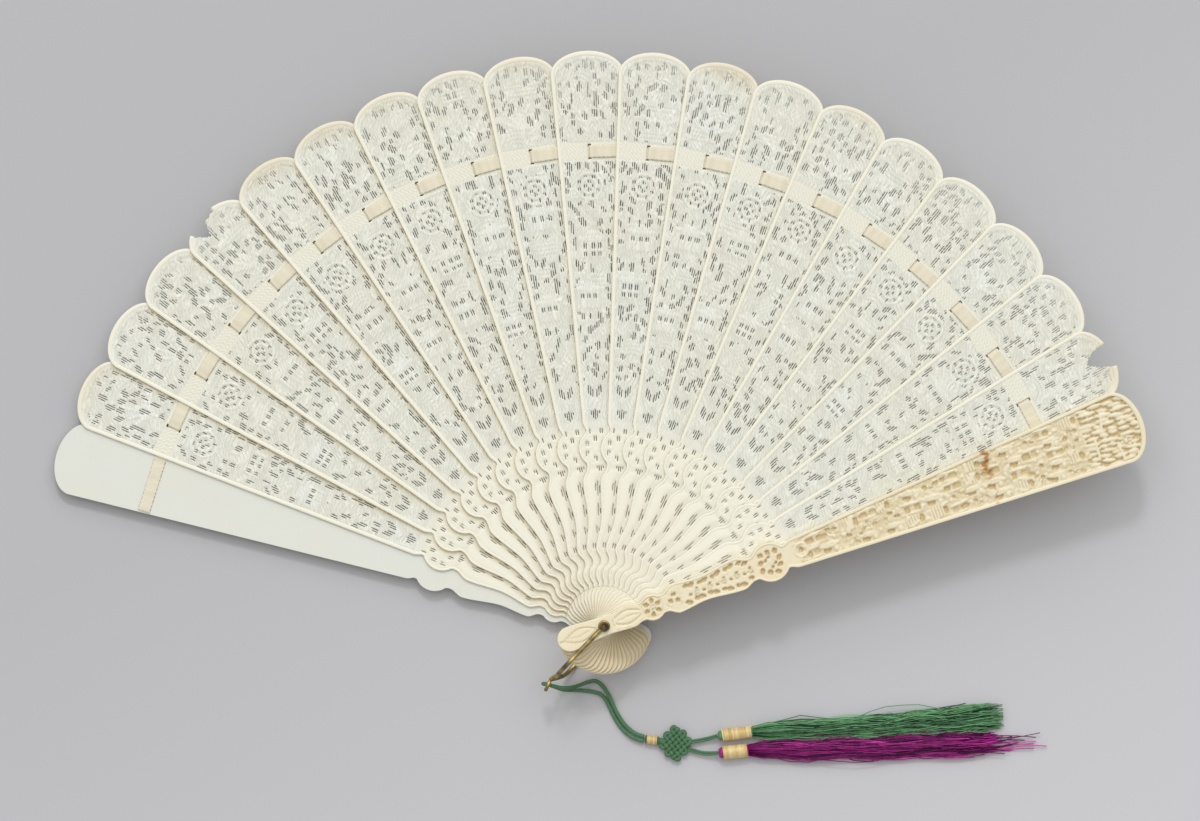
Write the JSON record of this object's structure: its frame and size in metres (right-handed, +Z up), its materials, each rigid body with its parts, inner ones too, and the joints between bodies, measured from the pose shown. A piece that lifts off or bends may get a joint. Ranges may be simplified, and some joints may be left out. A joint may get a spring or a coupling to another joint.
{
  "type": "brise fan",
  "caption": "Folding brise fan of pierced sticks between carved guards, turning on a rivet and laced by a ribbon, with a bail, a looped cord, a flat woven knot and silk tassels.",
  "frame": {"origin": "on the rivet's axis, at the rivet's foot, on the surface that the fan lies on", "axes": "+Z up along the rivet from the rear guard to the front guard, +Y towards the middle of the open fan, +X towards the front guard's side"},
  "size_m": [0.3498, 0.2281, 0.0275],
  "materials": {
    "ivory": "satin ivory or bone, carved and pierced",
    "aged_ivory": "satin ivory or bone, yellowed, with tan in the carving",
    "ribbon_silk": "pale silk ribbon",
    "dark_bronze": "darkened",
    "brass": "worn, darker towards the eye",
    "green_silk": "silk cord and floss",
    "purple_silk": "silk floss",
    "gold_thread": "wound metal thread"
  },
  "bodies": {
    "rear_guard": {"rear_guard": "ivory", "ribbon_rear": "ribbon_silk", "rivet": "dark_bronze"},
    "stick_01": {"stick_01": "ivory", "ribbon_01": "ribbon_silk"},
    "stick_02": {"stick_02": "ivory", "ribbon_02": "ribbon_silk"},
    "stick_03": {"stick_03": "ivory", "ribbon_03": "ribbon_silk"},
    "stick_04": {"stick_04": "ivory", "ribbon_04": "ribbon_silk"},
    "stick_05": {"stick_05": "ivory", "ribbon_05": "ribbon_silk"},
    "stick_06": {"stick_06": "ivory", "ribbon_06": "ribbon_silk"},
    "stick_07": {"stick_07": "ivory", "ribbon_07": "ribbon_silk"},
    "stick_08": {"stick_08": "ivory", "ribbon_08": "ribbon_silk"},
    "stick_09": {"stick_09": "ivory", "ribbon_09": "ribbon_silk"},
    "stick_10": {"stick_10": "ivory", "ribbon_10": "ribbon_silk"},
    "stick_11": {"stick_11": "ivory", "ribbon_11": "ribbon_silk"},
    "stick_12": {"stick_12": "ivory", "ribbon_12": "ribbon_silk"},
    "stick_13": {"stick_13": "ivory", "ribbon_13": "ribbon_silk"},
    "stick_14": {"stick_14": "ivory", "ribbon_14": "ribbon_silk"},
    "stick_15": {"stick_15": "ivory", "ribbon_15": "ribbon_silk"},
    "stick_16": {"stick_16": "ivory", "ribbon_16": "ribbon_silk"},
    "stick_17": {"stick_17": "ivory", "ribbon_17": "ribbon_silk"},
    "stick_18": {"stick_18": "ivory", "ribbon_18": "ribbon_silk"},
    "stick_19": {"stick_19": "ivory", "ribbon_19": "ribbon_silk"},
    "front_guard": {"front_guard": "aged_ivory", "ribbon_front": "ribbon_silk"},
    "bail": {"bail": "brass"},
    "cord": {"cord_upper": "green_silk", "cord_lower": "green_silk", "cord_neck": "green_silk", "cord_winding": "gold_thread", "knot": "green_silk"},
    "green_tassel": {"loop_green": "green_silk", "green_head": "green_silk", "green_winding": "gold_thread", "green_skirt": "green_silk"},
    "purple_tassel": {"loop_purple": "green_silk", "purple_head": "purple_silk", "purple_winding": "gold_thread", "purple_skirt": "purple_silk"}
  },
  "joints": [
    {"name": "fan_fold", "type": "hinge", "parent": "rear_guard", "child": "front_guard", "pos_m": [0, 0, 0.0136], "axis": [0, 0, 1], "range_deg": [0, 141.5]},
    {"name": "stick_01_turn", "type": "hinge", "parent": "rear_guard", "child": "stick_01", "pos_m": [0, 0, 0.0136], "axis": [0, 0, 1], "range_deg": [0, 7.08]},
    {"name": "stick_02_turn", "type": "hinge", "parent": "rear_guard", "child": "stick_02", "pos_m": [0, 0, 0.0136], "axis": [0, 0, 1], "range_deg": [0, 14.16]},
    {"name": "stick_03_turn", "type": "hinge", "parent": "rear_guard", "child": "stick_03", "pos_m": [0, 0, 0.0136], "axis": [0, 0, 1], "range_deg": [0, 21.23]},
    {"name": "stick_04_turn", "type": "hinge", "parent": "rear_guard", "child": "stick_04", "pos_m": [0, 0, 0.0136], "axis": [0, 0, 1], "range_deg": [0, 28.31]},
    {"name": "stick_05_turn", "type": "hinge", "parent": "rear_guard", "child": "stick_05", "pos_m": [0, 0, 0.0136], "axis": [0, 0, 1], "range_deg": [0, 35.38]},
    {"name": "stick_06_turn", "type": "hinge", "parent": "rear_guard", "child": "stick_06", "pos_m": [0, 0, 0.0136], "axis": [0, 0, 1], "range_deg": [0, 42.46]},
    {"name": "stick_07_turn", "type": "hinge", "parent": "rear_guard", "child": "stick_07", "pos_m": [0, 0, 0.0136], "axis": [0, 0, 1], "range_deg": [0, 49.53]},
    {"name": "stick_08_turn", "type": "hinge", "parent": "rear_guard", "child": "stick_08", "pos_m": [0, 0, 0.0136], "axis": [0, 0, 1], "range_deg": [0, 56.61]},
    {"name": "stick_09_turn", "type": "hinge", "parent": "rear_guard", "child": "stick_09", "pos_m": [0, 0, 0.0136], "axis": [0, 0, 1], "range_deg": [0, 63.69]},
    {"name": "stick_10_turn", "type": "hinge", "parent": "rear_guard", "child": "stick_10", "pos_m": [0, 0, 0.0136], "axis": [0, 0, 1], "range_deg": [0, 70.76]},
    {"name": "stick_11_turn", "type": "hinge", "parent": "rear_guard", "child": "stick_11", "pos_m": [0, 0, 0.0136], "axis": [0, 0, 1], "range_deg": [0, 77.83]},
    {"name": "stick_12_turn", "type": "hinge", "parent": "rear_guard", "child": "stick_12", "pos_m": [0, 0, 0.0136], "axis": [0, 0, 1], "range_deg": [0, 84.91]},
    {"name": "stick_13_turn", "type": "hinge", "parent": "rear_guard", "child": "stick_13", "pos_m": [0, 0, 0.0136], "axis": [0, 0, 1], "range_deg": [0, 91.98]},
    {"name": "stick_14_turn", "type": "hinge", "parent": "rear_guard", "child": "stick_14", "pos_m": [0, 0, 0.0136], "axis": [0, 0, 1], "range_deg": [0, 99.06]},
    {"name": "stick_15_turn", "type": "hinge", "parent": "rear_guard", "child": "stick_15", "pos_m": [0, 0, 0.0136], "axis": [0, 0, 1], "range_deg": [0, 106.14]},
    {"name": "stick_16_turn", "type": "hinge", "parent": "rear_guard", "child": "stick_16", "pos_m": [0, 0, 0.0136], "axis": [0, 0, 1], "range_deg": [0, 113.21]},
    {"name": "stick_17_turn", "type": "hinge", "parent": "rear_guard", "child": "stick_17", "pos_m": [0, 0, 0.0136], "axis": [0, 0, 1], "range_deg": [0, 120.28]},
    {"name": "stick_18_turn", "type": "hinge", "parent": "rear_guard", "child": "stick_18", "pos_m": [0, 0, 0.0136], "axis": [0, 0, 1], "range_deg": [0, 127.36]},
    {"name": "stick_19_turn", "type": "hinge", "parent": "rear_guard", "child": "stick_19", "pos_m": [0, 0, 0.0136], "axis": [0, 0, 1], "range_deg": [0, 134.44]},
    {"name": "bail_swing", "type": "hinge", "parent": "rear_guard", "child": "bail", "pos_m": [0, 0, 0.0136], "axis": [0, 0, 1], "range_deg": [-35, 90]},
    {"name": "cord_swing", "type": "hinge", "parent": "bail", "child": "cord", "pos_m": [-0.0179, -0.019, 0.0136], "axis": [0, 0, 1], "range_deg": [-30, 10]},
    {"name": "green_tassel_swing", "type": "hinge", "parent": "cord", "child": "green_tassel", "pos_m": [0.0286, -0.0375, 0.0016], "axis": [0, 0, 1], "range_deg": [0, 25]},
    {"name": "purple_tassel_swing", "type": "hinge", "parent": "cord", "child": "purple_tassel", "pos_m": [0.0274, -0.04, 0.0016], "axis": [0, 0, 1], "range_deg": [-25, 0]}
  ],
  "couplings": [
    {"joint": "stick_01_turn", "follows": "fan_fold", "ratio": 0.05},
    {"joint": "stick_02_turn", "follows": "fan_fold", "ratio": 0.1},
    {"joint": "stick_03_turn", "follows": "fan_fold", "ratio": 0.15},
    {"joint": "stick_04_turn", "follows": "fan_fold", "ratio": 0.2},
    {"joint": "stick_05_turn", "follows": "fan_fold", "ratio": 0.25},
    {"joint": "stick_06_turn", "follows": "fan_fold", "ratio": 0.3},
    {"joint": "stick_07_turn", "follows": "fan_fold", "ratio": 0.35},
    {"joint": "stick_08_turn", "follows": "fan_fold", "ratio": 0.4},
    {"joint": "stick_09_turn", "follows": "fan_fold", "ratio": 0.45},
    {"joint": "stick_10_turn", "follows": "fan_fold", "ratio": 0.5},
    {"joint": "stick_11_turn", "follows": "fan_fold", "ratio": 0.55},
    {"joint": "stick_12_turn", "follows": "fan_fold", "ratio": 0.6},
    {"joint": "stick_13_turn", "follows": "fan_fold", "ratio": 0.65},
    {"joint": "stick_14_turn", "follows": "fan_fold", "ratio": 0.7},
    {"joint": "stick_15_turn", "follows": "fan_fold", "ratio": 0.75},
    {"joint": "stick_16_turn", "follows": "fan_fold", "ratio": 0.8},
    {"joint": "stick_17_turn", "follows": "fan_fold", "ratio": 0.85},
    {"joint": "stick_18_turn", "follows": "fan_fold", "ratio": 0.9},
    {"joint": "stick_19_turn", "follows": "fan_fold", "ratio": 0.95}
  ]
}
